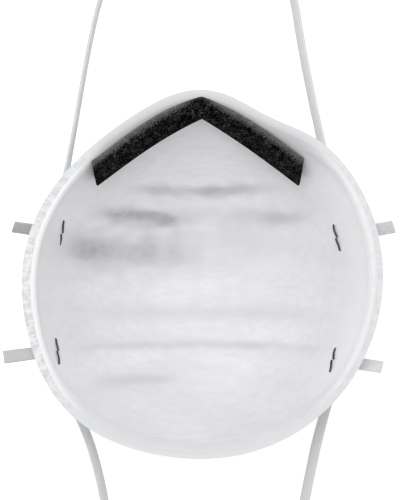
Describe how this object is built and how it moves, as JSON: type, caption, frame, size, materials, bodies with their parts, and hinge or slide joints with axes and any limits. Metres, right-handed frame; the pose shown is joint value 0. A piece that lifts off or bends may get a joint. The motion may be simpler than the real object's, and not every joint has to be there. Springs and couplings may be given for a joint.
{
  "type": "disposable dust mask",
  "caption": "Moulded cup respirator with a pressed flange, nose foam, bendable nose clip and elastic head straps stapled to the side walls.",
  "frame": {"origin": "on the supporting plane under the middle of the mask, which lies on its front with the opening upwards", "axes": "+Z out of the opening towards the wearer, +Y towards the nose, +X across the face"},
  "size_m": [0.1432, 0.2844, 0.05],
  "materials": {
    "nonwoven": "matte white nonwoven",
    "moulded_shell": "stiff moulded polyester felt",
    "melt_blown": "soft melt-blown fibre",
    "foam": "open-cell foam, soft and matt",
    "adhesive": "thin clear film",
    "clip_metal": "satin",
    "staple_wire": "zinc-coated wire",
    "elastic": "flat latex-free elastic"
  },
  "bodies": {
    "mask": {"outer_cover": "nonwoven", "stiffening_shell": "moulded_shell", "filter_media": "melt_blown", "inner_liner": "nonwoven", "nose_foam": "foam", "foam_adhesive": "adhesive", "nose_clip": "clip_metal", "clip_adhesive": "adhesive", "staple_upper_left": "staple_wire", "staple_upper_right": "staple_wire", "staple_lower_left": "staple_wire", "staple_lower_right": "staple_wire", "upper_strap_left_end": "elastic", "upper_strap_right_end": "elastic", "lower_strap_left_end": "elastic", "lower_strap_right_end": "elastic", "upper_strap_left_lead": "elastic", "upper_strap_right_lead": "elastic", "lower_strap_left_lead": "elastic", "lower_strap_right_lead": "elastic"},
    "upper_strap": {"upper_strap_loop": "elastic"},
    "lower_strap": {"lower_strap_loop": "elastic"}
  },
  "joints": [
    {"name": "upper_strap_swing", "type": "hinge", "parent": "mask", "child": "upper_strap", "pos_m": [0, 0.05, 0.0218], "axis": [1, 0, 0], "range_deg": [0, 100], "deforming": ["upper_strap_left_lead", "upper_strap_right_lead"]},
    {"name": "lower_strap_swing", "type": "hinge", "parent": "mask", "child": "lower_strap", "pos_m": [0, -0.062, 0.0252], "axis": [-1, 0, 0], "range_deg": [0, 100], "deforming": ["lower_strap_left_lead", "lower_strap_right_lead"]}
  ]
}
